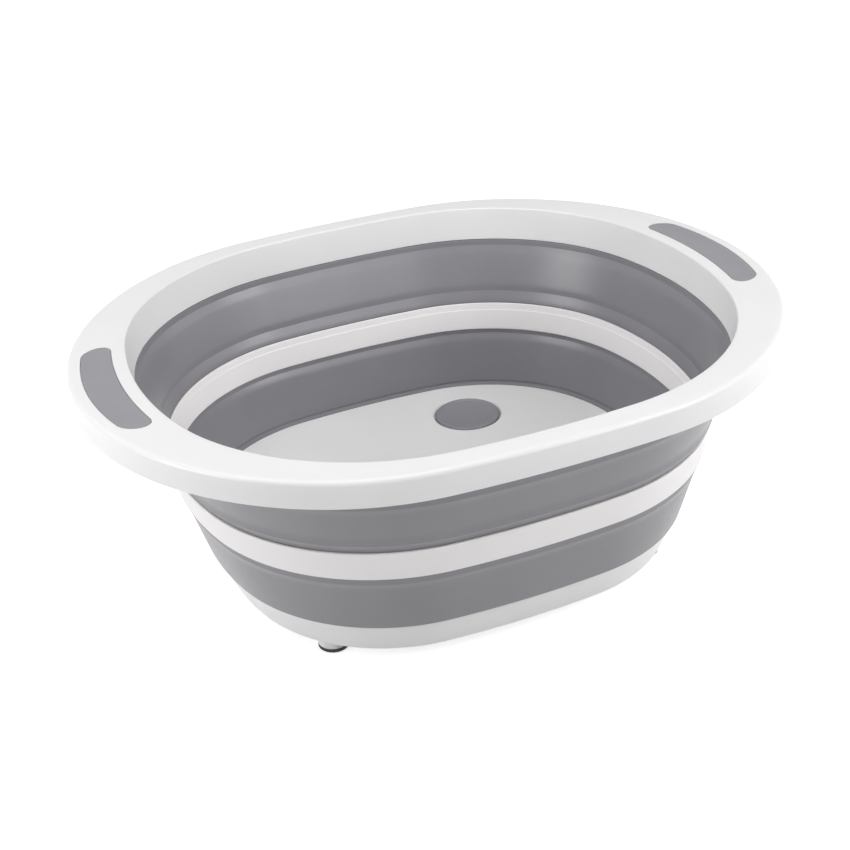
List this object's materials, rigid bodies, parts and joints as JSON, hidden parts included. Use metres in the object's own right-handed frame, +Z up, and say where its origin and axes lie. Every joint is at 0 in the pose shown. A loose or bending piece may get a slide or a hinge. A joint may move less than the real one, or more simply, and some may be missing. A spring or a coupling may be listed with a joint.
{
  "type": "collapsible camp washbasin",
  "caption": "Oval collapsible camp washbasin with a stiff handled rim, soft folding walls, a flat floor with a drain stopper, and short legs.",
  "frame": {"origin": "centre of the footprint on the ground, below the middle of the rim", "axes": "+X along the length towards the right handle, -Y towards the front, +Z up"},
  "size_m": [0.402, 0.3284, 0.145],
  "materials": {
    "white_plastic": "satin moulded white",
    "ring_plastic": "satin moulded warm white",
    "soft_wall": "smooth soft grey",
    "grip_rubber": "soft-touch light grey",
    "plug_rubber": "smooth soft grey",
    "pad_rubber": "matt dark"
  },
  "bodies": {
    "base": {"base": "white_plastic", "lower_fold": "soft_wall", "foot_pad_front_left": "pad_rubber", "foot_pad_front_right": "pad_rubber", "foot_pad_rear_left": "pad_rubber", "foot_pad_rear_right": "pad_rubber"},
    "mid_ring": {"mid_ring": "ring_plastic", "upper_fold": "soft_wall"},
    "rim": {"rim": "white_plastic", "grip_left": "grip_rubber", "grip_right": "grip_rubber"},
    "plug": {"drain_plug": "plug_rubber"}
  },
  "joints": [
    {"name": "lower_collapse", "type": "slide", "parent": "base", "child": "mid_ring", "axis": [0, 0, -1], "range_m": [0, 0.046], "deforming": ["lower_fold"]},
    {"name": "upper_collapse", "type": "slide", "parent": "mid_ring", "child": "rim", "axis": [0, 0, -1], "range_m": [0, 0.046], "deforming": ["upper_fold"]},
    {"name": "plug_lift", "type": "slide", "parent": "base", "child": "plug", "axis": [0, 0, 1], "range_m": [0, 0.16]}
  ]
}
